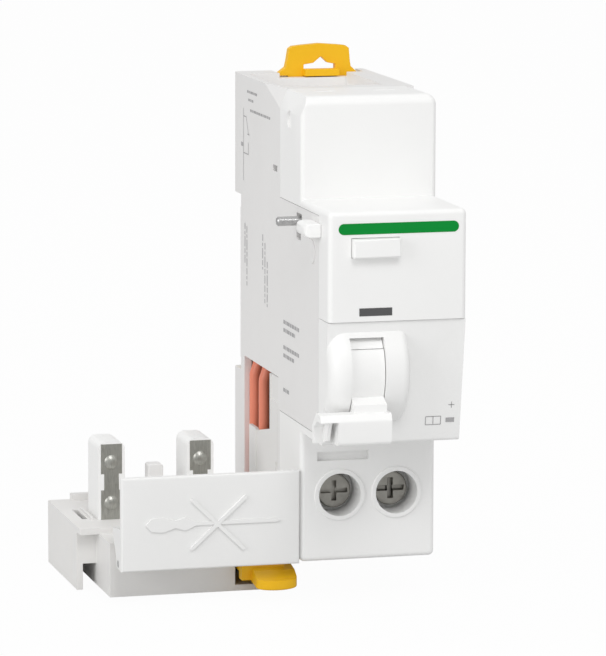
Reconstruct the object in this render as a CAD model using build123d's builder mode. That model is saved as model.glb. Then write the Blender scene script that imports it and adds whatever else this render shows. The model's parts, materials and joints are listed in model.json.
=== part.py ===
"""Add-on residual current device for a two-pole breaker on a 35 mm rail.

Frame: +X to the right, +Y to the back (towards the rail), +Z up, millimetres.
The origin is the centre of the face that seats on the rail.
Every box below is given by its low and high corner in that frame.
"""

import math
import os

from build123d import *

os.makedirs("parts", exist_ok=True)

# ---------------------------------------------------------------- driving dimensions
body_width = 27.0
body_top = 42.2
body_drop = 48.2
back_depth = 5.3
case_depth = 31.7
shoulder_depth = 47.7
nose_depth = 68.1
nose_foot_lean = 4.2
nose_half = 22.5
nose_skirt = 7.1
parting_height = 1.5
wall = 1.5
edge_round = 1.0
seam_gap = 0.12

rail_half = 17.5
rail_gap = 0.4
seat_relief = 0.4
seat_relief_height = 2.6

clip_width = 12.9
clip_thick = 1.8
clip_reach = 1.9
clip_gap = 0.2
clip_stand_off = 1.4
clip_rise = 5.6
top_clip_x = 3.2
low_clip_width = 9.0
tongue_width = 8.5
tip_offset = 2.0
tip_width = 8.2
root_reach = 3.4
tongue_tip = 46.7

recess_depth = 4.5
recess_length = 27.7
recess_rim = 3.7
clip_step = 1.0
clip_sink = 0.8
clip_foot = 2.0

arm_reach = 39.5
arm_lift = 4.7
arm_height = 12.7
arm_back = 2.3
arm_front = 38.2
arm_plate_front = 28.7
arm_step = 1.1
arm_wall = 1.2
cheek_gap = 2.7
rim_rise = 0.9

pole_pitch = 18.0
blade_out = 31.3
blade_face = 20.3
blade_width = 4.3
blade_thick = 1.0
blade_height = 15.1
blade_waist = 3.0
post_width = 5.4
post_depth = 9.3
post_rim = 0.4
bump_radius = 1.4
bump_rise = 0.55

shield_face = 48.2
shield_height = 18.3
shield_thick = 1.3
shield_sink = 4.9
shield_flange = 7.6
flange_rise = 2.6
hinge_y = 45.0
hinge_sink = 3.8
hinge_radius = 0.7
run_gap = 0.05

terminal_pitch = 11.4
terminal_z = 35.2
access_radius = 4.2
ring_radius = 5.1
ring_rise = 0.4
tube_end = 0.9
entry_radius = 3.3
screw_head_radius = 3.4
screw_head_depth = 4.2
screw_head_thick = 2.2
screw_radius = 2.0
cage_width = 8.4
cage_height = 9.4
cage_wall = 1.2
bar_thick = 1.2

drum_back = 8.4
drum_z = 8.3
boss_lip = 0.8
drum_radius = 10.2
drum_width = 6.4
drum_inset = 4.2
cheek_width = 4.6
cheek_round = 3.4
cheek_inset = 3.6
boss_shoulder = 2.1
handle_overhang = 2.7
handle_width = 13.9
hook_width = 3.5
shaft_radius = 1.0

button_width = 9.2
button_height = 3.6
button_x = 4.4
button_z = 15.65
stripe_margin = 1.75
stripe_height = 2.1
stripe_z = 19.25
inlay_depth = 0.3

pin_radius = 1.0
pin_reach = 4.5
pin_y = 46.6
pin_z = 18.3
pivot_y = 37.0
pivot_z = 14.8

wire_diameter = 2.4
wire_play = 0.05
wire_pitch = 7.5
lead_rear = 4.7
window_back = 3.3
window_front = 30.4
window_top = 14.6
riser_thick = 0.7
riser_gap = 0.2
duct_z = 27.9
duct_rise = 1.8
duct_slot = 7.2
duct_split = 12.4
riser_wing = 23.7

core_outer = 10.0
core_inner = 4.9
core_height = 8.0
core_z = -2.0
core_y = 17.0
recess_slope = 1.6
shoulder_round = 2.0
facet_length = 12.0
facet_drop = 3.8
facet_in = 1.4
block_depth = 47.9
bar_width = 5.6
deck_z = 24.3
low_clip_inset = 1.6
leg_drop = 2.9
leg_turn = 8.0
tongue_out = 10.1
lug_reach = 3.2
lug_length = 7.2
lug_back = 5.3
lug_low = 17.1
lug_height = 2.6
field_width = 6.4
field_height = 1.5
field_z = 3.45
drum_gap = 0.15
drum_pin_radius = 1.5
leaf_back = 13.1
contact_gap = 1.5
core_x = 1.0
hole_offset = 2.0
lead_over = 4.2
lead_under = -14.6
relay_front = 44.5
relay_low = -12.0
ear_thick = 1.4
ear_radius = 1.3
ear_gap = 0.35
flange_thick = 1.2
middle_rise = 10.6
pad_y = 51.9
pad_z = 13.6
pad_length = 13.0
pad_height = 4.6
pad_rise = 0.2
key_front = 29.6
key_low = 25.7
key_length = 3.4
key_height = 1.2
mark_y = 38.8
mark_drop = 5.2
mark_radius = 1.7
label_width = 10.3
label_height = 1.8
label_x = -5.05
label_z = 27.6

# crossed tools on the shield, from its middle
tool_outline = (
    (-12.95, -0.15),
    (-11.85, 1.05),
    (-9.45, 1.25),
    (-7.05, 0.55),
    (-5.05, 1.15),
    (-3.05, 0.15),
    (12.95, 0.15),
    (13.75, -0.25),
    (12.95, -0.55),
    (-3.05, -0.55),
    (-5.05, -1.45),
    (-7.05, -0.85),
    (-9.45, -1.65),
    (-11.85, -1.45),
)
tool_strokes = (
    ((-3.95, 4.55), (6.55, -5.65)),
    ((6.95, 4.75), (-4.05, -5.25)),
)

# ---------------------------------------------------------------- places worked out from them
half_width = body_width / 2
cavity_half = half_width - wall
nose_foot_depth = nose_depth - nose_foot_lean
arm_top = body_drop - arm_lift
leg_z = body_drop + leg_drop
hinge_z = arm_top + hinge_sink
shield_foot = arm_top + shield_sink
flange_top = flange_rise - arm_top
blade_x = half_width + blade_out
tongue_left = -half_width - tongue_out
tip_left = tongue_left + tip_offset
low_clip_left = -half_width + low_clip_inset
wire_x = half_width - riser_thick - wire_diameter / 2 - wire_play
wire_inner_x = cavity_half - wire_diameter / 2 - wire_play
recess_right = cavity_half - recess_rim
drum_y = nose_depth - drum_back
boss_radius = drum_radius + boss_lip
drum_left_x = -half_width + drum_inset
drum_right_x = drum_left_x + drum_width
boss_right = drum_right_x + cheek_width
handle_left_x = -half_width - handle_overhang
handle_right_x = handle_left_x + handle_width
hook_right_x = handle_left_x + hook_width
lug_front = nose_depth - lug_back
leaf_y = nose_depth - leaf_back
stripe_width = body_width - 2 * stripe_margin
lever_left, lever_right = -cavity_half + 1.4, cavity_half - 4.0
plunger_x = cavity_half - 5.5
plunger_y = pivot_y - 3.0
notch_half = rail_half + rail_gap
nose_front_plane = nose_depth - nose_skirt
recess_floor = body_top - recess_depth
clip_slot_low = clip_stand_off - clip_gap
clip_slot_high = clip_stand_off + clip_thick + clip_gap
nose_roof = nose_half - wall
arm_left = -half_width - arm_reach
arm_bottom = arm_top + arm_height
arm_end = -half_width - 0.1
riser_right = -half_width + riser_thick
leg_top = -leg_z + clip_thick
second_wall_x = arm_left + arm_wall + cheek_gap
blade_places = (-blade_x, -blade_x + pole_pitch)
terminal_places = (-terminal_pitch / 2, terminal_pitch / 2)
head_front = block_depth - screw_head_depth
head_back = head_front - screw_head_thick
bar_front = head_back - 5.0
bar_back = bar_front - bar_thick
cage_front = bar_front + 0.2 + cage_wall
cage_back = cage_front - 10.6
entry_y = (bar_back + cage_back + cage_wall) / 2
wire_radius = wire_diameter / 2
lead_places = (-lead_rear, -lead_rear - wire_pitch)
lead_level = -arm_top - arm_wall - wire_radius
button_face = nose_depth + 1.8
shield_left = arm_left + 4.0
shield_right = -half_width - 0.2
figure_x = (shield_left + shield_right) / 2
figure_z = -shield_foot + shield_height / 2
ear_places = (
    shield_left + flange_thick + ear_gap,
    shield_right - flange_thick - ear_gap - ear_thick,
)
dome_radius = (bump_radius**2 + bump_rise**2) / (2 * bump_rise)
waist_low = -arm_top + 5.9
waist_high = -arm_top + 9.1


def add_box(low, high, mode=Mode.ADD):
    """A box between its low and its high corner."""
    size = [h - l for l, h in zip(low, high)]
    with Locations(tuple((h + l) / 2 for l, h in zip(low, high))):
        Box(*size, mode=mode)


def add_rod(start, end, radius, mode=Mode.ADD):
    """A round rod from start to end."""
    axis = Vector(*end) - Vector(*start)
    middle = Vector(*start) + axis * 0.5
    with Locations(Plane(origin=middle, z_dir=axis)):
        Cylinder(radius, axis.length, mode=mode)


def add_side(points, left, right, mode=Mode.ADD):
    """A prism along X from a closed outline of (y, z) points."""
    with BuildSketch(Plane.YZ.offset(left)) as outline:
        with BuildLine():
            Polyline(*points, close=True)
        make_face()
    extrude(outline.sketch, amount=right - left, mode=mode)


def add_front(outline, front, depth, mode=Mode.ADD):
    """A prism going back from a front plane, from a sketch drawn in X and Z."""
    extrude(Plane.XZ.offset(front) * outline.sketch, amount=-depth, mode=mode)


def add_lead(points, bend, radius):
    """A round lead along straight runs joined by bends."""
    points = [Vector(*p) for p in points]
    with BuildLine() as route:
        start = points[0]
        for before, corner, after in zip(points, points[1:], points[2:]):
            back, ahead = (before - corner).normalized(), (after - corner).normalized()
            half = math.radians(back.get_angle(ahead)) / 2
            reach = bend / math.tan(half)
            centre = corner + (back + ahead).normalized() * (bend / math.sin(half))
            middle = centre + (corner - centre).normalized() * bend
            Line(start, corner + back * reach)
            ThreePointArc(corner + back * reach, middle, corner + ahead * reach)
            start = corner + ahead * reach
        Line(start, points[-1])
    with BuildSketch(Plane(origin=points[0], z_dir=points[1] - points[0])) as end:
        Circle(radius)
    sweep(end.sketch, path=route.wires()[0])


def save(piece, label):
    """Write one piece, named, in the shared frame."""
    piece.part.label = label
    export_step(piece.part, f"parts/{label}.step")


# ================================================================ housing
with BuildPart() as case_body:
    add_box((-half_width, -case_depth, -body_drop), (half_width, back_depth, body_top))
    fillet(case_body.edges().filter_by(Axis.Z).group_by(Axis.Y)[-1], edge_round)
    add_box((-half_width, -nose_front_plane, -nose_roof), (half_width, -case_depth, nose_roof))
    # rail notch, with a shallow relief above and below the seat
    add_box((-half_width, 0, -notch_half), (half_width, back_depth, notch_half), Mode.SUBTRACT)
    for low in (notch_half - seat_relief_height, -notch_half):
        add_box(
            (-half_width, -seat_relief, low),
            (half_width, 0, low + seat_relief_height),
            Mode.SUBTRACT,
        )
    # hollow inside
    add_box(
        (-cavity_half, -case_depth, wall - body_drop),
        (cavity_half, -wall - seat_relief, recess_floor - wall),
        Mode.SUBTRACT,
    )
    add_box(
        (-cavity_half, -nose_front_plane, wall - nose_roof),
        (cavity_half, -case_depth, nose_roof - wall),
        Mode.SUBTRACT,
    )
    # facet that runs out along the top left edge
    facet_end = Vector(-half_width, facet_length - case_depth, body_top)
    facet_low = Vector(-half_width, -case_depth, body_top - facet_drop)
    facet_high = Vector(facet_in - half_width, -case_depth, body_top)
    outward = (facet_high - facet_end).cross(facet_low - facet_end).normalized()
    if outward.X > 0:
        outward = outward * -1
    with Locations(Plane(origin=(facet_end + facet_low + facet_high) * (1 / 3), z_dir=outward)):
        Box(30, 30, 6, align=(Align.CENTER, Align.CENTER, Align.MIN), mode=Mode.SUBTRACT)
    # open recess on top, with a sloping floor, in front of the rail clip
    add_side(
        (
            (-recess_length, body_top),
            (-recess_length, recess_floor + recess_slope),
            (-clip_step, recess_floor),
            (-clip_step, body_top),
        ),
        -cavity_half,
        recess_right,
        Mode.SUBTRACT,
    )
    # lowered rim where the top clip's feet rest
    add_box(
        (top_clip_x - clip_width / 2 - clip_foot - 0.4, -clip_step, body_top - clip_sink - clip_gap),
        (top_clip_x + clip_width / 2 + clip_foot + 0.2, back_depth, body_top),
        Mode.SUBTRACT,
    )
    # guide slots of the two rail clips
    add_box(
        (top_clip_x - clip_width / 2 - clip_gap, clip_slot_low, notch_half),
        (top_clip_x + clip_width / 2 + clip_gap, clip_slot_high, body_top),
        Mode.SUBTRACT,
    )
    add_box(
        (low_clip_left - clip_gap, clip_slot_low, -body_drop),
        (low_clip_left + low_clip_width + clip_gap, clip_slot_high, -notch_half),
        Mode.SUBTRACT,
    )
    # side window for the leads and the arm's riser
    add_box(
        (-half_width, -window_front, -body_drop),
        (-cavity_half, -window_back, -window_top),
        Mode.SUBTRACT,
    )
    # bottom wall is cut back where the riser stands
    add_box(
        (-half_width, -window_front, -body_drop),
        (-wire_inner_x + wire_radius + 0.4, -window_back, wall - body_drop),
        Mode.SUBTRACT,
    )
    # raised pad below the lug
    with BuildSketch(Plane.YZ.offset(-half_width)) as pad:
        with Locations((-pad_y, pad_z)):
            SlotOverall(pad_length, pad_height)
    extrude(pad.sketch, amount=-pad_rise)
    # slot that the trip pin moves in, the key hole above it, the lug's seat
    add_box(
        (-half_width - pad_rise, -pin_y - pin_radius - 0.7, pin_z - 2.6 - pin_radius),
        (-cavity_half, -pin_y + pin_radius + 1.2, pin_z + pin_radius + 0.4),
        Mode.SUBTRACT,
    )
    add_box(
        (-half_width, -key_front, key_low),
        (-cavity_half, -key_front + key_length, key_low + key_height),
        Mode.SUBTRACT,
    )
    add_box(
        (-half_width, -lug_front + 3.2, lug_low + 0.7),
        (-cavity_half, -lug_front + lug_length - 1.2, lug_low + lug_height - 0.7),
        Mode.SUBTRACT,
    )
    # bosses that carry the trip lever's shaft
    for inside, way in ((-cavity_half, 1), (cavity_half, -1)):
        add_rod((inside, -pivot_y, pivot_z), (inside + way * 1.0, -pivot_y, pivot_z), 2.4)
        add_rod(
            (inside, -pivot_y, pivot_z),
            (inside + way * 1.0, -pivot_y, pivot_z),
            shaft_radius,
            Mode.SUBTRACT,
        )
    # shelf below the ring core, open in the middle for the leads
    add_box(
        (core_x - core_outer - 0.4, -core_y - core_outer, core_z - core_height / 2 - 1.4),
        (cavity_half, -wall - seat_relief, core_z - core_height / 2),
    )
    add_rod(
        (core_x, -core_y, core_z - core_height),
        (core_x, -core_y, core_z),
        core_inner,
        Mode.SUBTRACT,
    )
    # way for the clamping bars through the nose's floor
    add_box(
        (-cavity_half + 3.0, -bar_front - 1.5, -nose_roof),
        (cavity_half - 3.0, -case_depth, wall - nose_roof),
        Mode.SUBTRACT,
    )
    # cable entries from below
    for x in terminal_places:
        add_rod((x, -entry_y, -body_drop), (x, -entry_y, wall - body_drop), entry_radius, Mode.SUBTRACT)
save(case_body, "case_body")

with BuildPart() as upper_cover:
    with BuildPart(mode=Mode.PRIVATE) as nose_shell:
        add_box(
            (-half_width, -nose_depth, nose_roof + seam_gap),
            (half_width, -shoulder_depth + wall, nose_half),
        )
        add_box(
            (-half_width, -nose_depth, parting_height + seam_gap),
            (half_width, -nose_front_plane - seam_gap, nose_half),
        )
        fillet(nose_shell.edges().filter_by(Axis.Z).group_by(Axis.Y)[0], edge_round)
        fillet(
            nose_shell.edges().group_by(Axis.Z)[-1].filter_by(Axis.X).sort_by(Axis.Y)[0],
            edge_round,
        )
        add_box(
            (-cavity_half, -nose_depth + wall, parting_height + wall),
            (cavity_half, -nose_front_plane - seam_gap, nose_roof + seam_gap),
            Mode.SUBTRACT,
        )
        add_box(
            (-cavity_half, -nose_front_plane - seam_gap, parting_height + seam_gap),
            (cavity_half, -nose_front_plane, parting_height + wall),
            Mode.SUBTRACT,
        )
        add_rod(
            (drum_left_x - drum_gap, -drum_y, -drum_z),
            (drum_left_x + drum_width + drum_gap, -drum_y, -drum_z),
            drum_radius + 0.35,
            Mode.SUBTRACT,
        )
    add_box(
        (-half_width, -shoulder_depth, nose_roof + seam_gap),
        (half_width, -case_depth - seam_gap, body_top),
    )
    fillet(upper_cover.edges().filter_by(Axis.Z).group_by(Axis.Y)[0], edge_round)
    fillet(
        upper_cover.edges().group_by(Axis.Z)[-1].filter_by(Axis.X).sort_by(Axis.Y)[0],
        shoulder_round,
    )
    # facet along the top left edge
    with BuildSketch(Plane.XZ.offset(shoulder_depth)) as corner:
        with BuildLine():
            Polyline(
                (-half_width, body_top - facet_drop),
                (-half_width + facet_in, body_top),
                (-half_width, body_top),
                close=True,
            )
        make_face()
    extrude(corner.sketch, amount=case_depth - shoulder_depth, mode=Mode.SUBTRACT)
    # hollow behind the shoulder
    add_box(
        (-cavity_half, -shoulder_depth + wall, nose_roof + seam_gap),
        (cavity_half, -case_depth - seam_gap, body_top - wall),
        Mode.SUBTRACT,
    )
    add(nose_shell.part)
    # half-round finger mark on the left side
    with BuildSketch(Plane.YZ.offset(-half_width)) as mark:
        with Locations((-mark_y, body_top - mark_drop)):
            Circle(mark_radius)
    extrude(mark.sketch, amount=0.5, mode=Mode.SUBTRACT)
    # opening of the test button
    add_box(
        (-button_x - button_width / 2 - 0.1, -nose_depth, button_z - button_height / 2 - 0.1),
        (-button_x + button_width / 2 + 0.1, -nose_depth + wall, button_z + button_height / 2 + 0.1),
        Mode.SUBTRACT,
    )
    # seats of the coloured stripe and of the dark field
    with BuildSketch() as seats:
        with Locations((0.15, stripe_z)):
            SlotOverall(stripe_width, stripe_height)
        with Locations((-4.3, field_z)):
            Rectangle(field_width, field_height)
    add_front(seats, nose_depth, inlay_depth, Mode.SUBTRACT)
    # two shallow oval marks on the shoulder's roof
    for x in (-6.5, 5.5):
        with BuildSketch(Plane.XY.offset(body_top)) as oval:
            with Locations((x, -38.2)):
                SlotOverall(4.4, 1.1)
        extrude(oval.sketch, amount=-inlay_depth, mode=Mode.SUBTRACT)
    # locating tongues into the case
    for x in (-cavity_half, cavity_half - 1.2):
        add_box((x, -case_depth - 3.0, 24.0), (x + 1.2, -case_depth + 2.5, 34.0))
save(upper_cover, "upper_cover")

with BuildPart() as lower_cover:
    face_top, face_foot = nose_depth - 0.4, nose_foot_depth
    skirt_back = -nose_front_plane - seam_gap
    add_side(
        (
            (-face_top, parting_height),
            (skirt_back, parting_height),
            (skirt_back, -nose_roof - seam_gap),
            (-shoulder_depth + wall, -nose_roof - seam_gap),
            (-shoulder_depth + wall, -nose_half),
            (-face_foot, -nose_half),
        ),
        -half_width,
        half_width,
    )
    fillet(lower_cover.edges().group_by(Axis.Z)[0].filter_by(Axis.X).sort_by(Axis.Y)[0], 0.8)
    # hollow behind the sloping face
    add_side(
        (
            (-face_top + wall, parting_height - wall),
            (skirt_back, parting_height - wall),
            (skirt_back, -nose_roof - seam_gap),
            (-face_foot + wall, -nose_roof - seam_gap),
        ),
        -cavity_half,
        cavity_half,
        Mode.SUBTRACT,
    )
    # round cheeks beside the toggle
    with BuildPart(mode=Mode.PRIVATE) as cheeks:
        centre = Plane(origin=(0, -drum_y, -drum_z), x_dir=(1, 0, 0), z_dir=(0, 0, 1))
        with BuildSketch(centre) as profile:
            with BuildLine():
                Line((-half_width, 0), (-half_width, -boss_radius + cheek_round))
                Spline(
                    (-half_width, -boss_radius + cheek_round),
                    (-half_width + cheek_inset * 0.29, -boss_radius + cheek_round * 0.29),
                    (-half_width + cheek_inset, -boss_radius),
                    tangents=((0, -1), (1, 0)),
                )
                Line((-half_width + cheek_inset, -boss_radius), (boss_right - 1.2, -boss_radius))
                Spline(
                    (boss_right - 1.2, -boss_radius),
                    (boss_right + 0.1, -boss_radius + 0.7),
                    (boss_right + 0.5, -boss_radius + 2.0),
                    (boss_right + boss_shoulder / 2, -boss_radius + 3.4),
                    (boss_right + boss_shoulder * 2, -boss_radius + 5.0),
                    tangents=((1, 0), (1, 0.1)),
                )
                Line(
                    (boss_right + boss_shoulder * 2, -boss_radius + 5.0),
                    (boss_right + boss_shoulder * 2, 0),
                )
                Line((boss_right + boss_shoulder * 2, 0), (-half_width, 0))
            make_face()
        revolve(profile.sketch, axis=Axis((0, -drum_y, -drum_z), (1, 0, 0)))
        add_box((-20, -face_foot + 0.6, -40), (20, -drum_y + 20, 40), Mode.SUBTRACT)
        add_box((-20, -drum_y - 20, parting_height), (20, -drum_y + 20, 40), Mode.SUBTRACT)
    add(cheeks.part)
    # terminal block
    with BuildPart(mode=Mode.PRIVATE) as block:
        add_box(
            (-half_width, -block_depth, -body_drop),
            (half_width, -case_depth - seam_gap, -nose_roof - seam_gap),
        )
        fillet(block.edges().filter_by(Axis.Z).group_by(Axis.Y)[0], edge_round)
        fillet(block.edges().group_by(Axis.Z)[0].filter_by(Axis.X).sort_by(Axis.Y)[0], edge_round)
        add_box(
            (-cavity_half, -block_depth + wall, wall - body_drop),
            (cavity_half, -case_depth - seam_gap, -nose_roof - seam_gap),
            Mode.SUBTRACT,
        )
        with BuildSketch() as rings:
            with Locations(*[(x, -terminal_z) for x in terminal_places]):
                Circle(ring_radius)
        add_front(rings, block_depth + ring_rise, ring_rise)
        fillet(block.edges().filter_by(GeomType.CIRCLE).group_by(Axis.Y)[0], 0.3)
        # tubes that lead the blade to the screw heads
        for x in terminal_places:
            tube = ((x, -block_depth, -terminal_z), (x, -head_back + tube_end, -terminal_z))
            add_rod(*tube, access_radius + 0.9)
        for x in terminal_places:
            add_rod(
                (x, -block_depth - ring_rise, -terminal_z),
                (x, -head_back + run_gap, -terminal_z),
                access_radius,
                Mode.SUBTRACT,
            )
            add_rod(
                (x, -head_back, -terminal_z),
                (x, -head_back + tube_end, -terminal_z),
                screw_radius + run_gap,
                Mode.SUBTRACT,
            )
            # cable entry
            add_rod(
                (x, -entry_y, -body_drop), (x, -entry_y, wall - body_drop), entry_radius, Mode.SUBTRACT
            )
        # back stop of the clamping bars
        add_box(
            (-cavity_half, -block_depth + wall, -deck_z - 1.2), (cavity_half, -bar_back + 0.2, -deck_z)
        )
        for x in terminal_places:
            add_box(
                (x - bar_width / 2, -bar_front, -deck_z - 1.2),
                (x + bar_width / 2, -bar_back + 0.2, -deck_z),
                Mode.SUBTRACT,
            )
        # label slot
        add_box(
            (label_x - label_width / 2, -block_depth, -label_z - label_height / 2),
            (label_x + label_width / 2, -block_depth + 1.0, -label_z + label_height / 2),
            Mode.SUBTRACT,
        )
    add(block.part)
    # slot that the toggle swings in
    slot_low, slot_high = drum_left_x - drum_gap, drum_left_x + drum_width + drum_gap
    add_rod((slot_low, -drum_y, -drum_z), (slot_high, -drum_y, -drum_z), drum_radius + 0.35, Mode.SUBTRACT)
    add_box(
        (slot_low, -drum_y - boss_radius - 1, -drum_z - 9.6),
        (slot_high, -drum_y - 2.0, -drum_z + 6.9),
        Mode.SUBTRACT,
    )
    # ears that hold the toggle's pin
    for x in (slot_low - 1.4, slot_high):
        add_box((x, -face_foot + 0.4, -drum_z - 3.2), (x + 1.4, -drum_y + 3.0, -drum_z + 3.2))
        add_rod((x, -drum_y, -drum_z), (x + 1.4, -drum_y, -drum_z), drum_pin_radius, Mode.SUBTRACT)
save(lower_cover, "lower_cover")

# ================================================================ front inlays
with BuildPart() as stripe:
    with BuildSketch() as face:
        with Locations((0.15, stripe_z)):
            SlotOverall(stripe_width, stripe_height)
    add_front(face, nose_depth + 0.05, inlay_depth + 0.05)
save(stripe, "stripe")

with BuildPart() as dark_field:
    with BuildSketch() as face:
        with Locations((-4.3, field_z)):
            Rectangle(field_width, field_height)
    add_front(face, nose_depth + 0.05, inlay_depth + 0.05)
save(dark_field, "dark_field")

# ================================================================ test button and its contact
with BuildPart() as test_button:
    add_box(
        (-button_x - button_width / 2, -button_face, button_z - button_height / 2),
        (-button_x + button_width / 2, -nose_depth + wall + 0.2, button_z + button_height / 2),
    )
    fillet(test_button.edges().group_by(Axis.Y)[0], 0.4)
    add_box(
        (-button_x - button_width / 2 - 0.8, -nose_depth + wall + 0.1, button_z - button_height / 2 - 0.8),
        (-button_x + button_width / 2 + 0.8, -nose_depth + wall + 1.1, button_z + button_height / 2 + 0.8),
    )
    add_box(
        (-button_x - 1.2, -nose_depth + wall + 1.0, button_z - 1.2),
        (-button_x + 1.2, -leaf_y, button_z + 1.2),
    )
save(test_button, "test_button")

with BuildPart() as test_leaf:
    leaf_left = -button_x - 1.6
    leaf_low, leaf_high = button_z - 1.8, button_z + 1.8
    add_box(
        (leaf_left, -leaf_y + contact_gap, leaf_low),
        (cavity_half, -leaf_y + contact_gap + 0.4, leaf_high),
    )
    add_box(
        (cavity_half - 0.4, -leaf_y + contact_gap, leaf_low),
        (cavity_half, -leaf_y + 8.0, leaf_high),
    )
save(test_leaf, "test_leaf")

with BuildPart() as test_resistor:
    resistor = ((8.6, -leaf_y + 5.2, 4.2), (8.6, -leaf_y + 5.2, 12.0))
    add_rod(*resistor, 2.0)
    add_rod((8.6, -leaf_y + 5.2, 1.6), (8.6, -leaf_y + 5.2, 14.0), 0.35)
    add_box((8.3, -leaf_y + 4.9, 13.3), (cavity_half - 0.4, -leaf_y + 5.5, 14.0))
save(test_resistor, "test_resistor")

# ================================================================ toggle
with BuildPart() as toggle_lever:
    add_rod((drum_left_x, -drum_y, -drum_z), (drum_right_x, -drum_y, -drum_z), drum_radius)
    # flat back of the drum and the small step at its upper edge
    drum_low, drum_high = -drum_z - drum_radius, -drum_z + drum_radius
    add_box(
        (drum_left_x, -drum_y + 5.0, drum_low),
        (drum_right_x, -drum_y + drum_radius, drum_high),
        Mode.SUBTRACT,
    )
    add_side(
        (
            (-drum_y - 12.0, -drum_z + 4.7),
            (-drum_y - 6.2, -drum_z + 4.7),
            (-drum_y - 6.2, -drum_z + 12.0),
            (-drum_y - 12.0, -drum_z + 12.0),
        ),
        drum_left_x,
        drum_right_x,
        Mode.SUBTRACT,
    )
    with BuildPart(mode=Mode.PRIVATE) as tile:
        add_rod((drum_left_x, -drum_y, -drum_z), (drum_right_x, -drum_y, -drum_z), drum_radius - 0.3)
        add_box(
            (drum_left_x, -drum_y + 5.0, drum_low),
            (drum_right_x, -drum_y + drum_radius, drum_high),
            Mode.SUBTRACT,
        )
        add_box(
            (drum_left_x, -drum_y - drum_radius, drum_low),
            (drum_right_x, -drum_y + drum_radius, -drum_z + 4.8),
            Mode.SUBTRACT,
        )
    add(tile.part)
    # neck
    add_side(
        (
            (-drum_y - 0.68 * drum_radius, -drum_z - 0.32 * drum_radius),
            (-drum_y - 11.6, -drum_z - 5.4),
            (-drum_y - 11.6, -drum_z - 10.6),
            (-drum_y - 7.2, -drum_z - 9.2),
            (-drum_y - 0.42 * drum_radius, -drum_z - 0.57 * drum_radius),
        ),
        drum_left_x,
        drum_right_x,
    )
    # handle bar across the front
    handle_run = ((handle_left_x, -drum_y, -drum_z), (handle_right_x + 1, -drum_y, -drum_z))
    with BuildPart(mode=Mode.PRIVATE) as handle:
        add_side(
            (
                (-drum_y - 6.8, -drum_z - 9.6),
                (-drum_y - 9.6, -drum_z - 6.9),
                (-drum_y - 12.4, -drum_z - 6.9),
                (-drum_y - 13.2, -drum_z - 8.2),
                (-drum_y - 12.7, -drum_z - 12.9),
                (-drum_y - 6.8, -drum_z - 12.9),
            ),
            handle_left_x,
            handle_right_x,
        )
        fillet(handle.edges().filter_by(Axis.X).group_by(Axis.Y)[0], 0.9)
        fillet(handle.edges().filter_by(Axis.X).group_by(Axis.Z)[0].sort_by(Axis.Y)[0], 0.9)
        add_rod(*handle_run, boss_radius + 0.4, Mode.SUBTRACT)
        # hooked left end: a top web, a back web and one rib
        add_side(
            (
                (-drum_y - 14, -drum_z - 8.3),
                (-drum_y - 10.4, -drum_z - 8.3),
                (-drum_y - 7.9, -drum_z - 9.9),
                (-drum_y - 7.9, -drum_z - 14),
                (-drum_y - 14, -drum_z - 14),
            ),
            handle_left_x,
            hook_right_x,
            Mode.SUBTRACT,
        )
        add_side(
            (
                (-drum_y - 12.2, -drum_z - 7.6),
                (-drum_y - 10.0, -drum_z - 12.2),
                (-drum_y - 7.4, -drum_z - 12.9),
                (-drum_y - 7.4, -drum_z - 9.4),
                (-drum_y - 9.4, -drum_z - 7.6),
            ),
            hook_right_x - 1.6,
            hook_right_x - 0.9,
        )
        add_rod(*handle_run, boss_radius + 0.4, Mode.SUBTRACT)
    add(handle.part)
    add_rod(*handle_run, drum_pin_radius + run_gap, Mode.SUBTRACT)
save(toggle_lever, "toggle_lever")

with BuildPart() as toggle_pin:
    add_rod((slot_low - 1.4, -drum_y, -drum_z), (slot_high + 1.4, -drum_y, -drum_z), drum_pin_radius)
save(toggle_pin, "toggle_pin")

# ================================================================ trip lever and pin
with BuildPart() as trip_lever:
    add_rod((lever_left, -pivot_y, pivot_z), (lever_right, -pivot_y, pivot_z), 2.2)
    add_side(
        (
            (-pivot_y, pivot_z - 2.2),
            (-pivot_y, pivot_z + 2.2),
            (-pin_y - 1.0, pin_z + 1.0),
            (-pin_y - 1.6, pin_z),
            (-pin_y - 1.0, pin_z - 1.6),
        ),
        lever_left,
        lever_left + 1.6,
    )
    add_side(
        (
            (-pivot_y + 1.5, pivot_z - 1.2),
            (-pivot_y - 1.5, pivot_z - 1.2),
            (-pivot_y + 1.8, pivot_z - 6.2),
            (-pivot_y + 3.8, pivot_z - 6.2),
        ),
        lever_right - 3.0,
        lever_right,
    )
    add_rod(
        (lever_left, -pivot_y, pivot_z),
        (lever_right, -pivot_y, pivot_z),
        shaft_radius + run_gap,
        Mode.SUBTRACT,
    )
    add_rod(
        (lever_left, -pin_y, pin_z),
        (lever_left + 1.6, -pin_y, pin_z),
        pin_radius - 0.1,
        Mode.SUBTRACT,
    )
save(trip_lever, "trip_lever")

with BuildPart() as trip_pin:
    pin_outer = -half_width - pin_reach
    add_rod((pin_outer, -pin_y, pin_z), (lever_left + 1.6, -pin_y, pin_z), pin_radius - 0.1)
    chamfer(trip_pin.edges().group_by(Axis.X)[0], 0.25)
save(trip_pin, "trip_pin")

with BuildPart() as trip_shaft:
    add_rod((-cavity_half, -pivot_y, pivot_z), (cavity_half, -pivot_y, pivot_z), shaft_radius)
save(trip_shaft, "trip_shaft")

with BuildPart() as coupling_lug:
    add_box(
        (-half_width - lug_reach, -lug_front, lug_low),
        (-half_width, -lug_front + lug_length, lug_low + lug_height),
    )
    fillet(coupling_lug.edges().group_by(Axis.X)[0], 1.1)
    add_box(
        (-half_width, -lug_front + 3.2, lug_low + 0.7),
        (-cavity_half, -lug_front + lug_length - 1.2, lug_low + lug_height - 0.7),
    )
save(coupling_lug, "coupling_lug")

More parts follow.
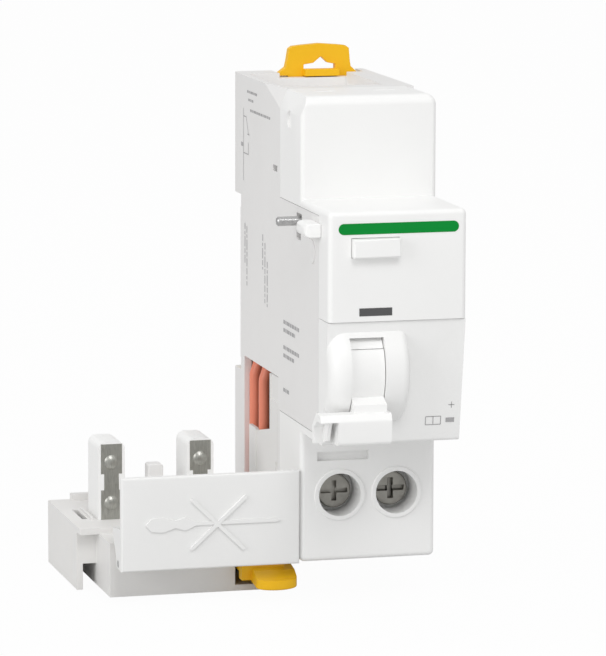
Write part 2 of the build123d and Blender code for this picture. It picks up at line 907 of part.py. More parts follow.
# ================================================================ sensing core and relay
with BuildPart() as ring_core:
    with Locations((core_x, -core_y, core_z)):
        Cylinder(core_outer - 0.7, core_height - 1.4)
        Cylinder(core_inner + 0.7, core_height, mode=Mode.SUBTRACT)
save(ring_core, "ring_core")

with BuildPart() as core_winding:
    turn_count = 18
    for turn in range(turn_count):
        with Locations(Location((core_x, -core_y, core_z), (0, 0, 20 + 320 * turn / (turn_count - 1)))):
            with Locations(((core_outer + core_inner) / 2, 0, 0)):
                Box(core_outer - core_inner, 0.7, core_height)
    with BuildPart(mode=Mode.PRIVATE) as band:
        with Locations((core_x, -core_y, core_z)):
            Cylinder(core_outer, core_height / 4)
            Cylinder(core_outer - 0.7, core_height, mode=Mode.SUBTRACT)
    add(band.part)
    with Locations((core_x, -core_y, core_z)):
        Cylinder(core_outer - 0.7, core_height - 1.4, mode=Mode.SUBTRACT)
    with Locations((core_x, -core_y, core_z)):
        Cylinder(core_inner, core_height + 2, mode=Mode.SUBTRACT)
    for turn in range(turn_count):
        with Locations(Location((core_x, -core_y, core_z), (0, 0, 20 + 320 * turn / (turn_count - 1)))):
            with Locations((core_inner + 0.3, 0, 0)):
                Box(0.6, 0.7, core_height)
save(core_winding, "core_winding")

with BuildPart() as trip_relay:
    add_box((0.6, -relay_front, relay_low), (cavity_half, -relay_front + 13.5, relay_low + 12.4))
    fillet(trip_relay.edges().filter_by(Axis.Y), 0.5)
    add_rod(
        (plunger_x, -plunger_y, relay_low + 6.0),
        (plunger_x, -plunger_y, relay_low + 12.4),
        1.1 + run_gap,
        Mode.SUBTRACT,
    )
save(trip_relay, "trip_relay")

with BuildPart() as relay_plunger:
    add_rod((plunger_x, -plunger_y, relay_low + 6.0), (plunger_x, -plunger_y, pivot_z - 6.5), 1.1)
save(relay_plunger, "relay_plunger")

# ================================================================ terminals
for side, x in zip(("left", "right"), terminal_places):
    with BuildPart() as terminal_screw:
        add_rod((x, -head_front, -terminal_z), (x, -head_back, -terminal_z), screw_head_radius)
        fillet(terminal_screw.edges().group_by(Axis.Y)[0], 0.35)
        add_rod((x, -head_back, -terminal_z), (x, -bar_front, -terminal_z), screw_radius)
        add_box(
            (x - 2.7, -head_front, -terminal_z - 0.45),
            (x + 2.7, -head_front + 1.2, -terminal_z + 0.45),
            Mode.SUBTRACT,
        )
        add_box(
            (x - 0.5, -head_front, -terminal_z - 2.0),
            (x + 0.5, -head_front + 1.4, -terminal_z + 2.0),
            Mode.SUBTRACT,
        )
    save(terminal_screw, f"terminal_screw_{side}")

    with BuildPart() as cage:
        add_box(
            (x - cage_width / 2, -cage_front, -terminal_z - cage_height / 2),
            (x + cage_width / 2, -cage_back, -terminal_z + cage_height / 2),
        )
        add_box(
            (x - cage_width / 2 + cage_wall, -cage_front + cage_wall, -terminal_z - cage_height / 2),
            (x + cage_width / 2 - cage_wall, -cage_back - cage_wall, -terminal_z + cage_height / 2),
            Mode.SUBTRACT,
        )
        add_rod(
            (x, -cage_front - 1, -terminal_z),
            (x, -cage_front + cage_wall, -terminal_z),
            screw_radius + run_gap,
            Mode.SUBTRACT,
        )
    save(cage, f"terminal_cage_{side}")

    with BuildPart() as bar:
        add_box(
            (x - bar_width / 2, -bar_front, -terminal_z - 5.4),
            (x + bar_width / 2, -bar_back, -deck_z + 2.6),
        )
    save(bar, f"terminal_bar_{side}")

# ================================================================ rail clips
with BuildPart() as top_clip:
    clip_left, clip_right = top_clip_x - clip_width / 2, top_clip_x + clip_width / 2
    foot_z = body_top - clip_sink
    with BuildSketch() as outline:
        with BuildLine():
            Polyline(
                (clip_left, notch_half - clip_reach),
                (clip_left, foot_z),
                (clip_left - clip_foot, foot_z),
                (clip_left - clip_foot, foot_z + 0.6),
                (clip_left - 0.5, foot_z + 1.7),
                (clip_left - 0.2, foot_z + 3.0),
                (clip_left + 0.2, body_top + clip_rise - 1.0),
                (clip_left + 0.9, body_top + clip_rise - 0.5),
                (clip_left + 2.6, body_top + clip_rise - 0.3),
                (top_clip_x, body_top + clip_rise),
                (clip_right - 2.6, body_top + clip_rise - 0.3),
                (clip_right - 0.9, body_top + clip_rise - 0.5),
                (clip_right - 0.2, body_top + clip_rise - 1.0),
                (clip_right, foot_z + 3.0),
                (clip_right + 0.2, foot_z + 1.7),
                (clip_right + clip_foot - 0.6, foot_z + 0.6),
                (clip_right + clip_foot - 0.6, foot_z),
                (clip_right, foot_z),
                (clip_right, notch_half - clip_reach),
                close=True,
            )
        make_face()
        with BuildLine():
            Polyline(
                (top_clip_x - 3.2, body_top + 0.3),
                (top_clip_x - 3.2, body_top + 1.4),
                (top_clip_x - 1.2, body_top + 1.7),
                (top_clip_x + 0.4, body_top + 3.0),
                (top_clip_x + 1.8, body_top + 1.7),
                (top_clip_x + 3.4, body_top + 1.4),
                (top_clip_x + 3.4, body_top + 0.3),
                close=True,
            )
        make_face(mode=Mode.SUBTRACT)
    extrude(Plane.XZ.offset(-clip_stand_off) * outline.sketch, amount=-clip_thick)
    # rounded lead-in at the hook and the short front tab over the recess
    chamfer(top_clip.edges().group_by(Axis.Z)[0].filter_by(Axis.X).sort_by(Axis.Y)[0], 0.8)
    add_box(
        (top_clip_x - 3.4, -clip_step + 0.3, foot_z),
        (top_clip_x + 3.7, clip_stand_off, foot_z + 1.4),
    )
save(top_clip, "top_clip")

with BuildPart() as low_clip:
    low_right = low_clip_left + low_clip_width
    add_box(
        (low_clip_left, clip_stand_off, -leg_z),
        (low_right, clip_stand_off + clip_thick, -notch_half + clip_reach),
    )
    chamfer(low_clip.edges().group_by(Axis.Z)[-1].filter_by(Axis.X).sort_by(Axis.Y)[0], 0.8)
    # leg that turns under the case and runs forward inside the arm
    add_box((low_clip_left, -leg_turn, -leg_z), (low_right, clip_stand_off + clip_thick, leg_top))
    add_box((tongue_left, -leg_turn, -leg_z), (low_clip_left, arm_back - arm_wall - 0.4, leg_top))
    add_box(
        (tongue_left, -arm_front - root_reach, -leg_z), (tongue_left + tongue_width, -leg_turn, leg_top)
    )
    # root block and the rounded, sloping tongue
    add_box(
        (tongue_left, -arm_front - root_reach, -leg_z - 1.5),
        (tongue_left + tongue_width, -arm_front - 1.0, leg_top - 0.6),
    )
    with BuildPart(mode=Mode.PRIVATE) as tongue:
        add_side(
            (
                (-arm_front - 1.0, leg_top - 0.5),
                (-arm_front - 1.0, -leg_z - 1.8),
                (-tongue_tip, -leg_z - 2.8),
                (-tongue_tip, leg_top - 2.7),
                (-tongue_tip + 1.6, leg_top - 2.4),
                (-tongue_tip + 3.6, leg_top - 1.2),
            ),
            tip_left,
            tip_left + tip_width,
        )
        with BuildSketch(Plane.XY.offset(-leg_z - 4)) as plan:
            with Locations((tip_left + tip_width / 2, -tongue_tip + tip_width / 4)):
                Ellipse(tip_width / 2, tip_width / 4)
            with Locations((tip_left + tip_width / 2, -tongue_tip + tip_width / 4 + 5)):
                Rectangle(tip_width, 10)
        extrude(plan.sketch, amount=8, mode=Mode.INTERSECT)
        fillet(tongue.edges().group_by(Axis.Z)[0].sort_by(Axis.Y)[0], 0.4)
    add(tongue.part)
save(low_clip, "low_clip")

# ================================================================ arm below the breaker
with BuildPart() as arm_housing:
    floor = -arm_bottom + rim_rise
    add_box((second_wall_x, -arm_plate_front, floor), (arm_end, arm_back, -arm_top))
    add_box((second_wall_x, -arm_front, floor), (arm_end, -arm_plate_front, -arm_top - arm_step))
    add_box(
        (second_wall_x + arm_wall, -arm_front + arm_wall, floor + arm_wall),
        (arm_end - arm_wall, arm_back - arm_wall, -arm_top - arm_step - arm_wall),
        Mode.SUBTRACT,
    )
    add_box(
        (second_wall_x + arm_wall, -arm_plate_front + arm_wall, -arm_top - arm_step - arm_wall),
        (arm_end - arm_wall, arm_back - arm_wall, -arm_top - arm_wall),
        Mode.SUBTRACT,
    )
    # open cheek at the far end: top plate, outer wall and a set-back wall
    add_box((arm_left, -arm_plate_front, -arm_top - arm_wall), (second_wall_x, arm_back, -arm_top))
    add_box((arm_left, -arm_plate_front + 3.0, -arm_bottom), (arm_left + arm_wall, arm_back, -arm_top))
    add_box(
        (arm_left, -arm_plate_front + 3.0, -arm_top - 7.5),
        (second_wall_x, -arm_plate_front + 4.2, -arm_top),
    )
    # slot and rib in the top plate, raised pad at the back
    add_box(
        (arm_left + 2.6, -18.7, -arm_top - arm_wall), (arm_left + 3.7, -8.7, -arm_top), Mode.SUBTRACT
    )
    add_box((arm_left + 4.05, -20.3, -arm_top), (arm_left + 4.5, -9.7, -arm_top + 0.6))
    add_box((arm_left + 4.5, arm_back - 1.8, -arm_top), (arm_left + 8.5, arm_back, -arm_top + 1.3))
    # riser that closes the side window from below, taller in front of the leads
    riser_front, riser_back = -window_front + riser_gap, -window_back - riser_gap
    add_box((arm_end, riser_front, -body_drop + riser_gap), (riser_right, riser_back, -arm_top))
    wing_top = -window_top - riser_gap - 0.1
    add_side(
        (
            (riser_front, -arm_top),
            (riser_front, wing_top),
            (-riser_wing, wing_top),
            (-riser_wing, -duct_z + duct_rise),
            (-duct_split, -duct_z - 0.4),
            (-duct_split, -duct_z),
            (-duct_slot, -duct_z),
            (-duct_slot, -arm_top),
        ),
        -half_width,
        riser_right,
    )
    # shallow steps in the riser's panels
    for low, high in (
        ((riser_front, wing_top - 5.0), (-riser_wing - 0.6, wing_top)),
        ((riser_front, -arm_top), (riser_front + 1.8, -duct_z - 4.0)),
        ((-riser_wing, -arm_top), (-duct_split, -duct_z + duct_rise)),
    ):
        add_box((-half_width, *low), (-half_width + 0.25, *high), Mode.SUBTRACT)
    # way in for the leads, at the riser's foot
    add_box(
        (arm_end - arm_wall, lead_places[1] - 2.0, -body_drop),
        (riser_right, riser_back, -arm_top - arm_wall),
        Mode.SUBTRACT,
    )
    add_box(
        (arm_end, lead_places[1] - 2.0, -body_drop),
        (riser_right, riser_back, -arm_top - 0.4),
        Mode.SUBTRACT,
    )
    # way for the clip's leg at the end, and for its tongue at the front
    add_box(
        (arm_end - arm_wall, -leg_turn - 0.5, floor + arm_wall),
        (arm_end, arm_back - arm_wall, leg_top + 0.3),
        Mode.SUBTRACT,
    )
    add_box(
        (tongue_left - 0.5, -arm_front, floor + arm_wall),
        (tongue_left + tongue_width + 0.5, -arm_front + arm_wall, leg_top + 0.3),
        Mode.SUBTRACT,
    )
    # ears that carry the shield
    for x in ear_places:
        add_box((x, -hinge_y, -hinge_z - ear_radius), (x + ear_thick, -arm_front, -hinge_z + ear_radius))
        add_rod((x, -hinge_y, -hinge_z), (x + ear_thick, -hinge_y, -hinge_z), ear_radius)
        add_rod((x, -hinge_y, -hinge_z), (x + ear_thick, -hinge_y, -hinge_z), hinge_radius, Mode.SUBTRACT)
    # feet of the blades pass through the top plate
    for x in blade_places:
        add_box(
            (x - blade_width / 2, -blade_face, -arm_top - arm_wall),
            (x + blade_width / 2, -blade_face + blade_thick, -arm_top),
            Mode.SUBTRACT,
        )
save(arm_housing, "arm_housing")

for side, x in zip(("left", "right"), blade_places):
    with BuildPart() as post:
        add_box(
            (x - post_width / 2, -blade_face - 0.1, -arm_top),
            (x + post_width / 2, -blade_face + post_depth, -arm_top + blade_height + post_rim),
        )
        fillet(post.edges().filter_by(Axis.Y).group_by(Axis.Z)[-1], 1.5)
        # pocket that holds the blade, with a step at its waist
        add_box(
            (x - blade_width / 2, -blade_face - 0.1, -arm_top),
            (x + blade_width / 2, -blade_face + blade_thick, -arm_top + blade_height),
            Mode.SUBTRACT,
        )
        for left, right in ((-blade_width / 2, -blade_waist / 2), (blade_waist / 2, blade_width / 2)):
            add_box(
                (x + left, -blade_face - 0.1, waist_low), (x + right, -blade_face + blade_thick, waist_high)
            )
    save(post, f"blade_post_{side}")

    with BuildPart() as blade:
        add_box(
            (x - blade_width / 2, -blade_face, -arm_top - 4.4),
            (x + blade_width / 2, -blade_face + blade_thick, -arm_top + blade_height),
        )
        for left, right in ((-blade_width / 2, -blade_waist / 2), (blade_waist / 2, blade_width / 2)):
            add_box(
                (x + left, -blade_face, waist_low),
                (x + right, -blade_face + blade_thick, waist_high),
                Mode.SUBTRACT,
            )
        for z in (waist_high + 2.4, waist_low - 2.6):
            with BuildPart(mode=Mode.PRIVATE) as dome:
                with Locations((x, -blade_face - bump_rise + dome_radius, z)):
                    Sphere(dome_radius)
                add_box(
                    (x - dome_radius, -blade_face + 0.1, z - dome_radius),
                    (x + dome_radius, -blade_face + 2 * dome_radius, z + dome_radius),
                    Mode.SUBTRACT,
                )
            add(dome.part)
    save(blade, f"blade_{side}")

with BuildPart() as middle_post:
    middle_x = (blade_places[0] + blade_places[1]) / 2
    add_box(
        (middle_x - 1.5, -blade_face, -arm_top), (middle_x + 1.5, -blade_face + 3.4, -arm_top + middle_rise)
    )
    fillet(middle_post.edges().filter_by(Axis.Y).group_by(Axis.Z)[-1], 0.5)
save(middle_post, "middle_post")

for name, y, blade_at in zip(("rear", "front"), lead_places, blade_places):
    back_of_blade = -blade_face + blade_thick
    hole_x = core_x + (hole_offset if name == "rear" else -hole_offset)
    bar_x = terminal_places[1] if name == "rear" else terminal_places[0]
    drop_y = -bar_back + wire_radius
    with BuildPart() as lead:
        add_lead(
            (
                (blade_at, back_of_blade, lead_level),
                (blade_at, y, lead_level),
                (-wire_x, y, lead_level),
                (-wire_x, y, -window_top - 3.6),
                (-wire_inner_x, y, -window_top - 1.2),
                (-wire_inner_x, y, core_z + core_height / 2 + lead_over),
                (hole_x, -core_y, core_z + core_height / 2 + lead_over),
                (hole_x, -core_y, lead_under),
                (bar_x, drop_y, lead_under),
                (bar_x, drop_y, -deck_z + 0.4),
            ),
            2.0,
            wire_radius,
        )
    save(lead, f"lead_{name}")

# ================================================================ flip cover over the breaker's screws
with BuildPart() as shield:
    shield_top = -shield_foot + shield_height
    add_box(
        (shield_left, -shield_face, -shield_foot),
        (shield_right, -shield_face + shield_thick, shield_top),
    )
    for x in (shield_left, shield_right - flange_thick):
        add_side(
            (
                (-shield_face, flange_top + 0.6),
                (-shield_face + shield_thick, flange_top + 0.6),
                (-shield_face + shield_flange, flange_top),
                (-shield_face + shield_flange, flange_top - 1.4),
                (-hinge_y + 1.7, -hinge_z + 1.2),
                (-hinge_y + 1.3, -shield_foot + 0.2),
                (-shield_face, -shield_foot),
            ),
            x,
            x + flange_thick,
        )
        add_rod(
            (x, -hinge_y, -hinge_z),
            (x + flange_thick, -hinge_y, -hinge_z),
            hinge_radius + run_gap,
            Mode.SUBTRACT,
        )
    upright = shield.edges().filter_by(Axis.Z).group_by(Axis.Y)[0]
    level = shield.edges().filter_by(Axis.X).group_by(Axis.Y)[0]
    fillet(upright + level, 0.5)
    # raised crossed-tool figure
    with BuildSketch() as figure:
        with BuildLine():
            Polyline(*[(figure_x + x, figure_z + z) for x, z in tool_outline], close=True)
        make_face()
    add_front(figure, shield_face + 0.35, 0.45)
    for start, end in tool_strokes:
        with BuildSketch() as stroke:
            run = Vector(*end) - Vector(*start)
            middle = Vector(figure_x, figure_z) + Vector(*start) + run * 0.5
            with Locations((middle.X, middle.Y)):
                SlotOverall(run.length, 0.7, rotation=math.degrees(math.atan2(run.Y, run.X)))
        add_front(stroke, shield_face + 0.45, 0.55)
save(shield, "shield")

for side, x, way in (("left", ear_places[0], -1), ("right", ear_places[1] + ear_thick, 1)):
    with BuildPart() as hinge_pin:
        inner = x - way * ear_thick
        outer = x + way * (ear_gap + flange_thick)
        low, high = min(inner, outer), max(inner, outer)
        add_rod((low, -hinge_y, -hinge_z), (high, -hinge_y, -hinge_z), hinge_radius)
    save(hinge_pin, f"shield_pin_{side}")
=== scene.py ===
import json
import math

import bmesh
import bpy
from mathutils import Matrix, Vector


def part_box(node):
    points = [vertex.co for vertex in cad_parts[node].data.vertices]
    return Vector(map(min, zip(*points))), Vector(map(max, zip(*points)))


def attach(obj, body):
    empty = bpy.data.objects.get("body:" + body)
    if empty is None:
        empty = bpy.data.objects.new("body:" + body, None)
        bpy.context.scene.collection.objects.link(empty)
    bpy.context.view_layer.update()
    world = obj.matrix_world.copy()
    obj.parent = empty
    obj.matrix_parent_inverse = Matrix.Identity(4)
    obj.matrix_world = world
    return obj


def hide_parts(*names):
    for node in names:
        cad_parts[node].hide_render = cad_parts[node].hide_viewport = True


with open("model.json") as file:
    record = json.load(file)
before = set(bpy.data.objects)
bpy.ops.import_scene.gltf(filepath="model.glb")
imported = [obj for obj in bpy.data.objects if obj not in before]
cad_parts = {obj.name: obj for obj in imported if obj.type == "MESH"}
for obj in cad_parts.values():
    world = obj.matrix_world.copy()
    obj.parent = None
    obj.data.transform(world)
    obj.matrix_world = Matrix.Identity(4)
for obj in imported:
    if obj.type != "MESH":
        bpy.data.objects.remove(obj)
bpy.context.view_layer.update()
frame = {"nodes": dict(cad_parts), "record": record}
scene = bpy.context.scene
nodes = frame["nodes"]
record = frame["record"]
body_of = {n: b for b, names in record["behaviour"]["bodies"].items() for n in names}
slot_of = {s["node"]: s["material_slot"] for s in record["subparts"]}


# ---------------------------------------------------------------- camera, light and floor
def look(azimuth, elevation, roll, distance, target, lens):
    """The camera on a sphere round the target: angles in degrees, lengths in metres, lens in mm."""
    data = bpy.data.cameras.new("camera")
    cam = bpy.data.objects.new("camera", data)
    scene.collection.objects.link(cam)
    a, e = math.radians(azimuth), math.radians(elevation)
    back = Vector((math.sin(a) * math.cos(e), -math.cos(a) * math.cos(e), math.sin(e)))
    cam.rotation_mode = "QUATERNION"
    cam.location = Vector(target) + back * distance
    turn = (-back).to_track_quat("-Z", "Y")
    cam.rotation_quaternion = turn @ Matrix.Rotation(math.radians(roll), 3, "Z").to_quaternion()
    data.sensor_width, data.lens = 36, lens
    data.clip_start, data.clip_end = 0.05, 20
    scene.camera = cam


look(
    azimuth=-14.84,
    elevation=8.78,
    roll=0.13,
    distance=0.8741,
    target=(-0.00827, -0.0297, -0.00522),
    lens=244.34,
)


def lamp(name, place, aim, size, power):
    """A soft white disk lamp that faces the point aim."""
    data = bpy.data.lights.new(name, "AREA")
    data.shape, data.size, data.energy = "DISK", size, power
    light = bpy.data.objects.new(name, data)
    scene.collection.objects.link(light)
    light.location = place
    light.rotation_mode = "QUATERNION"
    light.rotation_quaternion = (Vector(aim) - Vector(place)).to_track_quat("-Z", "Y")


middle = (0, -0.03, 0)
lamp("key", (-0.05, -0.75, 0.7), middle, size=0.5, power=2.8)
lamp("fill", (-0.85, -0.35, 0.3), middle, size=0.6, power=2.3)
lamp("top", (0.1, 0.1, 0.9), (0, -0.02, 0), size=0.6, power=0.6)

# the world lights softly, and the camera sees it as plain white
world = bpy.data.worlds.new("studio")
scene.world = world
world.use_nodes = True
world_nodes, world_links = world.node_tree.nodes, world.node_tree.links
world_nodes.clear()
world_out = world_nodes.new("ShaderNodeOutputWorld")
world_mix = world_nodes.new("ShaderNodeMixShader")
world_ray = world_nodes.new("ShaderNodeLightPath")
soft = world_nodes.new("ShaderNodeBackground")
soft.inputs["Color"].default_value = (1, 1, 1, 1)
soft.inputs["Strength"].default_value = 0.64
seen = world_nodes.new("ShaderNodeBackground")
seen.inputs["Color"].default_value = (1, 1, 1, 1)
seen.inputs["Strength"].default_value = 1
world_links.new(world_ray.outputs["Is Camera Ray"], world_mix.inputs[0])
world_links.new(soft.outputs[0], world_mix.inputs[1])
world_links.new(seen.outputs[0], world_mix.inputs[2])
world_links.new(world_mix.outputs[0], world_out.inputs["Surface"])

scene.view_settings.view_transform = "Standard"

# the floor is near white to the camera, keeps a little of the shadow, and reflects as pale grey
floor_half, floor_gap = 6.0, 0.0003
floor_level = min(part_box(n)[0].z for n in nodes) - floor_gap
floor_mesh = bpy.data.meshes.new("floor")
square = [(-1, -1), (1, -1), (1, 1), (-1, 1)]
floor_mesh.from_pydata([(x * floor_half, y * floor_half, floor_level) for x, y in square], [], [(0, 1, 2, 3)])
floor = bpy.data.objects.new("floor", floor_mesh)
scene.collection.objects.link(floor)
ground = bpy.data.materials.new("pale floor")
ground.use_nodes = True
floor_nodes, floor_links = ground.node_tree.nodes, ground.node_tree.links
floor_nodes.clear()
floor_out = floor_nodes.new("ShaderNodeOutputMaterial")
floor_mix = floor_nodes.new("ShaderNodeMixShader")
floor_ray = floor_nodes.new("ShaderNodeLightPath")
white_share = floor_nodes.new("ShaderNodeMath")
white_share.operation = "MULTIPLY"
white_share.inputs[1].default_value = 0.97
pale = floor_nodes.new("ShaderNodeBsdfDiffuse")
pale.inputs["Color"].default_value = (0.7, 0.7, 0.7, 1)
white = floor_nodes.new("ShaderNodeEmission")
white.inputs["Strength"].default_value = 1
floor_links.new(floor_ray.outputs["Is Camera Ray"], white_share.inputs[0])
floor_links.new(white_share.outputs[0], floor_mix.inputs[0])
floor_links.new(pale.outputs[0], floor_mix.inputs[1])
floor_links.new(white.outputs[0], floor_mix.inputs[2])
floor_links.new(floor_mix.outputs[0], floor_out.inputs["Surface"])
floor_mesh.materials.append(ground)


# ---------------------------------------------------------------- materials
class Shade:
    """A node material with short words for what is added to it."""

    def __init__(self, name, **sockets):
        self.material = bpy.data.materials.new(name)
        self.material.use_nodes = True
        self.nodes, self.links = self.material.node_tree.nodes, self.material.node_tree.links
        self.shader = self.nodes["Principled BSDF"]
        self.place = self.nodes.new("ShaderNodeTexCoord").outputs["Object"]
        for key, value in sockets.items():
            self.shader.inputs[key.replace("_", " ")].default_value = value

    def noise(self, scale, detail=3.0, rough=0.5, stretch=None):
        node = self.nodes.new("ShaderNodeTexNoise")
        node.inputs["Scale"].default_value = scale
        node.inputs["Detail"].default_value = detail
        node.inputs["Roughness"].default_value = rough
        place = self.place
        if stretch:
            shape = self.nodes.new("ShaderNodeMapping")
            shape.inputs["Scale"].default_value = stretch
            self.links.new(place, shape.inputs["Vector"])
            place = shape.outputs["Vector"]
        self.links.new(place, node.inputs["Vector"])
        return node.outputs["Fac"]

    def ramp(self, value, low, high, start=0.3, end=0.7):
        node = self.nodes.new("ShaderNodeValToRGB")
        node.color_ramp.elements[0].position, node.color_ramp.elements[1].position = start, end
        node.color_ramp.elements[0].color, node.color_ramp.elements[1].color = low, high
        self.links.new(value, node.inputs["Fac"])
        return node.outputs["Color"]

    def spread(self, value, low, high):
        node = self.nodes.new("ShaderNodeMapRange")
        node.inputs["From Min"].default_value, node.inputs["From Max"].default_value = 0.3, 0.7
        node.inputs["To Min"].default_value, node.inputs["To Max"].default_value = low, high
        self.links.new(value, node.inputs["Value"])
        return node.outputs["Result"]

    def colour(self, value):
        self.links.new(value, self.shader.inputs["Base Color"])

    def rough(self, value):
        self.links.new(value, self.shader.inputs["Roughness"])

    def bump(self, value, depth, strength=1.0, after=None):
        node = self.nodes.new("ShaderNodeBump")
        node.inputs["Distance"].default_value = depth
        node.inputs["Strength"].default_value = strength
        self.links.new(value, node.inputs["Height"])
        if after is not None:
            self.links.new(after, node.inputs["Normal"])
        self.links.new(node.outputs["Normal"], self.shader.inputs["Normal"])
        return node.outputs["Normal"]


def linear(r, g, b):
    """A colour given as it shows, 0 to 255, turned into scene values."""
    return tuple(((c / 255 + 0.055) / 1.055) ** 2.4 if c > 10 else c / 255 / 12.92 for c in (r, g, b)) + (1,)


def shifted(colour, k):
    """The same colour, k times as light."""
    return tuple(min(1, c * k) for c in colour[:3]) + (1,)


def moulded(name, colour, rough=0.42, grain=0.00002, vary=0.012, gloss=0.45):
    """Injection-moulded plastic: a fine eroded grain, faint flow shading, uneven gloss."""
    s = Shade(name, Metallic=0.0, IOR=1.5)
    s.shader.inputs["Specular IOR Level"].default_value = gloss
    flow = s.noise(38, 2.0, 0.5, (1, 1, 0.55))
    s.colour(s.ramp(flow, shifted(colour, 1 - vary), shifted(colour, 1 + vary), 0.35, 0.65))
    fine = s.noise(5200, 2.0, 0.6)
    s.rough(s.spread(s.noise(260, 3.0, 0.6), rough - 0.05, rough + 0.05))
    first = s.bump(fine, grain, 0.5)
    s.bump(s.noise(90, 2.0), 0.00012, 0.25, first)
    return s.material


def metal(name, colour, rough, brushed=None):
    """Metal with a drawn or stamped surface; brushed stretches the grain along an axis."""
    s = Shade(name, Metallic=1.0)
    tone = s.noise(700, 4.0, 0.6, brushed)
    s.colour(s.ramp(tone, shifted(colour, 0.82), shifted(colour, 1.12), 0.3, 0.7))
    s.rough(s.spread(s.noise(1400, 3.0, 0.6, brushed), rough - 0.07, rough + 0.09))
    s.bump(s.noise(2600, 3.0, 0.6, brushed), 0.00002, 0.5)
    return s.material


materials = {
    "case": moulded("case plastic", linear(236, 235, 234), 0.45),
    "cover": moulded("cover plastic", linear(247, 247, 246), 0.4),
    # the shield is the cover's white made darker: painted shade, for light falling off towards the bottom
    "shield": moulded("shield plastic with painted shade", linear(239, 239, 238), 0.4),
    "arm": moulded("arm plastic", linear(233, 232, 230), 0.45),
    "stripe": moulded("green print", linear(0, 138, 52), 0.5, 0.00001, 0.03, 0.15),
    "dark_field": moulded("dark print", linear(84, 84, 85), 0.45, 0.00001, 0.05),
    "button": moulded("button plastic", linear(249, 249, 248), 0.36),
    "toggle": moulded("toggle plastic", linear(250, 250, 249), 0.38),
    "inner_plastic": moulded("inner plastic", linear(205, 203, 196), 0.5),
    "clip": moulded("clip plastic", linear(246, 190, 4), 0.42, 0.00002, 0.03),
    "insulation": moulded("lead insulation", linear(238, 140, 112), 0.38, 0.00001, 0.05),
    "relay": moulded("relay plastic", linear(46, 46, 50), 0.4),
    "resistor": moulded("resistor coating", linear(120, 140, 165), 0.35),
    "steel": metal("bright steel", linear(190, 190, 190), 0.3, (1, 8, 8)),
    "screw_steel": metal("zinc plated steel", linear(156, 154, 148), 0.36),
    "plated": metal("nickel plate", linear(178, 178, 172), 0.34, (6, 6, 1)),
    "copper": metal("bar copper", linear(205, 130, 92), 0.32, (6, 6, 1)),
    "spring_bronze": metal("spring bronze", linear(196, 152, 98), 0.3, (1, 8, 8)),
    "winding": metal("enamelled wire", linear(176, 88, 44), 0.28),
    "core": moulded("ferrite coating", linear(70, 72, 78), 0.5),
    "ink": moulded("grey ink", linear(176, 175, 176), 0.5, 0.00001, 0.05),
}


# ---------------------------------------------------------------- rounded skins over the CAD nodes
# a bend steeper than this many degrees stays a sharp edge
bevelled_bend, plain_bend, flats_bend = 40, 32, 14
broad_face = 0.0012


def breadth(face):
    """Twice the width of a long strip; large for a broad flat face."""
    return 4 * face.calc_area() / max(face.calc_perimeter(), 1e-9)


def smooth_by_angle(mesh_data, steep):
    """Sharp edges where faces meet steeply, and where two broad flats meet at a slight angle."""
    for face in mesh_data.polygons:
        face.use_smooth = True
    bm = bmesh.new()
    bm.from_mesh(mesh_data)
    wide = {face.index for face in bm.faces if breadth(face) > broad_face}
    for edge in bm.edges:
        if len(edge.link_faces) == 2:
            bend = math.degrees(edge.calc_face_angle(0))
            flats = all(face.index in wide for face in edge.link_faces)
            edge.smooth = bend < (flats_bend if flats else steep)
    bm.to_mesh(mesh_data)
    bm.free()


def skin(node, width, tone_or_painted_shade=None):
    """The node's own shape with its sharp edges broken by width metres, or only shaded where it is 0."""
    source = nodes[node]
    data = source.data.copy()
    data.name = node + "_skin"
    bm = bmesh.new()
    bm.from_mesh(data)
    bmesh.ops.remove_doubles(bm, verts=bm.verts, dist=2e-6)
    if width:
        bmesh.ops.dissolve_limit(bm, angle_limit=math.radians(1.0), verts=bm.verts, edges=bm.edges)
    bm.to_mesh(data)
    bm.free()
    obj = bpy.data.objects.new(node + "_skin", data)
    scene.collection.objects.link(obj)
    obj.matrix_world = source.matrix_world.copy()
    if width:
        bevel = obj.modifiers.new("edges", "BEVEL")
        bevel.width = width
        bevel.segments = 2
        bevel.limit_method = "ANGLE"
        bevel.angle_limit = math.radians(40)
        bevel.use_clamp_overlap = True
        bevel.harden_normals = True
        bevel.miter_outer = "MITER_SHARP"
    data.materials.clear()
    data.materials.append(materials[tone_or_painted_shade or slot_of[node]])
    for face in data.polygons:
        face.material_index = 0
    smooth_by_angle(data, bevelled_bend if width else plain_bend)
    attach(obj, body_of[node])
    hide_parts(node)


# width of the broken edges, in metres
skins = {
    "case_body": 0.00025,
    "upper_cover": 0,
    "lower_cover": 0.0002,
    "arm_housing": 0.0002,
    "shield": 0.0001,
    "toggle_lever": 0.00025,
    "blade_post_left": 0,
    "blade_post_right": 0,
    "middle_post": 0.0002,
    "blade_left": 0,
    "blade_right": 0,
    "top_clip": 0.0002,
    "low_clip": 0.0002,
    "test_button": 0.00015,
    "coupling_lug": 0.0002,
    "terminal_screw_left": 0.00015,
    "terminal_screw_right": 0.00015,
    "terminal_cage_left": 0.00015,
    "terminal_cage_right": 0.00015,
}
# pieces whose plastic is a little lighter or darker than their slot's; the shield's darker tone is painted
# shade, for light falling off towards the bottom
tones_and_painted_shade = {"shield": "shield", "arm_housing": "arm"}
for node, source in nodes.items():
    source.data.materials.clear()
    source.data.materials.append(materials[slot_of[node]])
    for face in source.data.polygons:
        face.material_index = 0
for node, width in skins.items():
    skin(node, width, tones_and_painted_shade.get(node))


# ---------------------------------------------------------------- plain printed lines, no lettering
# all in millimetres, as (start, end, width) bars on a face
side_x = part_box("upper_cover")[0].x * 1000
parting_z, foot_z = 1.5, -22.5
parting_depth, foot_depth = 67.7, 63.9
dash_lengths, dash_gap, shortest_dash = (1.3, 0.7, 2.1, 1.0, 1.6), 0.35, 0.4


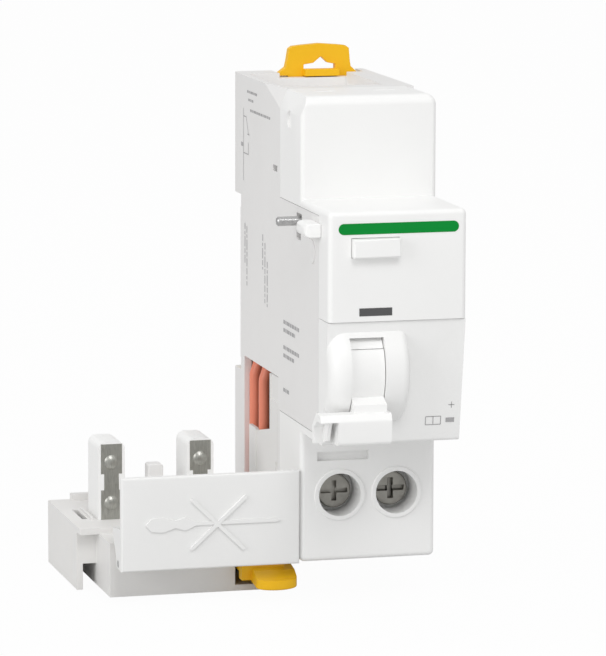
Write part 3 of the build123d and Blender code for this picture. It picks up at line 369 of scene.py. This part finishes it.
def printed(name, bars, place):
    """Thin bars of ink, where place gives the point in space for two coordinates on the face."""
    verts, faces = [], []
    for (a0, b0), (a1, b1), width in bars:
        run = Vector((a1 - a0, b1 - b0))
        side = Vector((-run.y, run.x)).normalized() * width / 2
        first = len(verts)
        for base, k in (((a0, b0), 1), ((a0, b0), -1), ((a1, b1), -1), ((a1, b1), 1)):
            spot = Vector(base) + side * k
            verts.append([c / 1000 for c in place(spot.x, spot.y)])
        faces.append((first, first + 1, first + 2, first + 3))
    data = bpy.data.meshes.new(name)
    data.from_pydata(verts, [], faces)
    obj = bpy.data.objects.new(name, data)
    scene.collection.objects.link(obj)
    data.materials.append(materials["ink"])
    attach(obj, body_of["case_body"])


def on_left(y, z):
    """Just outside the left side."""
    return (side_x - 0.03, y, z)


def on_front(x, z):
    """Just in front of the lower cover, which leans back towards its foot."""
    lean = (parting_z - z) * (parting_depth - foot_depth) / (parting_z - foot_z)
    return (x, -parting_depth + lean - 0.04, z)


def dashes(start, end, width):
    """A broken line, so that a row of print is suggested without any letters."""
    run = Vector(end) - Vector(start)
    bars, at, k = [], 0.0, 0
    while at < run.length - shortest_dash:
        length = min(dash_lengths[k % len(dash_lengths)], run.length - at)
        first = Vector(start) + run.normalized() * at
        last = first + run.normalized() * length
        bars.append((tuple(first), tuple(last), width))
        at, k = at + length + dash_gap, k + 1
    return bars


diagram = [
    ((-2.6, 35.6), (-2.6, 21.0), 0.22),
    ((-4.8, 34.0), (-2.6, 34.0), 0.22),
    ((-4.8, 34.0), (-6.6, 30.6), 0.22),
    ((-6.6, 29.0), (-6.6, 26.6), 0.22),
    ((-6.6, 26.6), (-2.6, 26.6), 0.22),
    ((-2.2, 28.2), (-0.6, 28.2), 0.8),
    ((-7.4, 30.6), (-5.8, 30.6), 0.22),
]
top_rows = [(39.2, -5.5, -13.5), (37.6, -6.5, -10.5), (35.6, -8.0, -24.0)]
columns = [(-3.8, 12.5, 4.0), (-5.4, 12.0, 0.0), (-18.2, 12.0, 5.0), (-20.0, 10.5, -1.5), (-21.8, 7.0, -2.0)]
front_rows = [(-3.0, -46.5), (-4.6, -43.5), (-8.0, -46.5), (-9.6, -43.0), (-16.4, -39.0)]
rows = []
for z, back, front in top_rows:
    rows += dashes((back, z), (front, z), 0.5)
for y, high, low in columns:
    rows += dashes((y, high), (y, low), 0.5)
for z, front in front_rows:
    rows += dashes((-34.6, z), (front, z), 0.75)
printed("side_lines", diagram + rows, on_left)

two_boxes = [
    ((6.6, -17.6), (9.6, -17.6), 0.16),
    ((6.6, -19.2), (9.6, -19.2), 0.16),
    ((6.6, -17.6), (6.6, -19.2), 0.16),
    ((9.6, -17.6), (9.6, -19.2), 0.16),
    ((8.1, -17.6), (8.1, -19.2), 0.16),
]
small_bar = [((10.6, -18.4), (12.3, -18.4), 0.9)]
small_plus = [((11.0, -15.4), (12.2, -15.4), 0.16), ((11.6, -14.8), (11.6, -16.0), 0.16)]
printed("front_box", two_boxes + small_bar + small_plus, on_front)
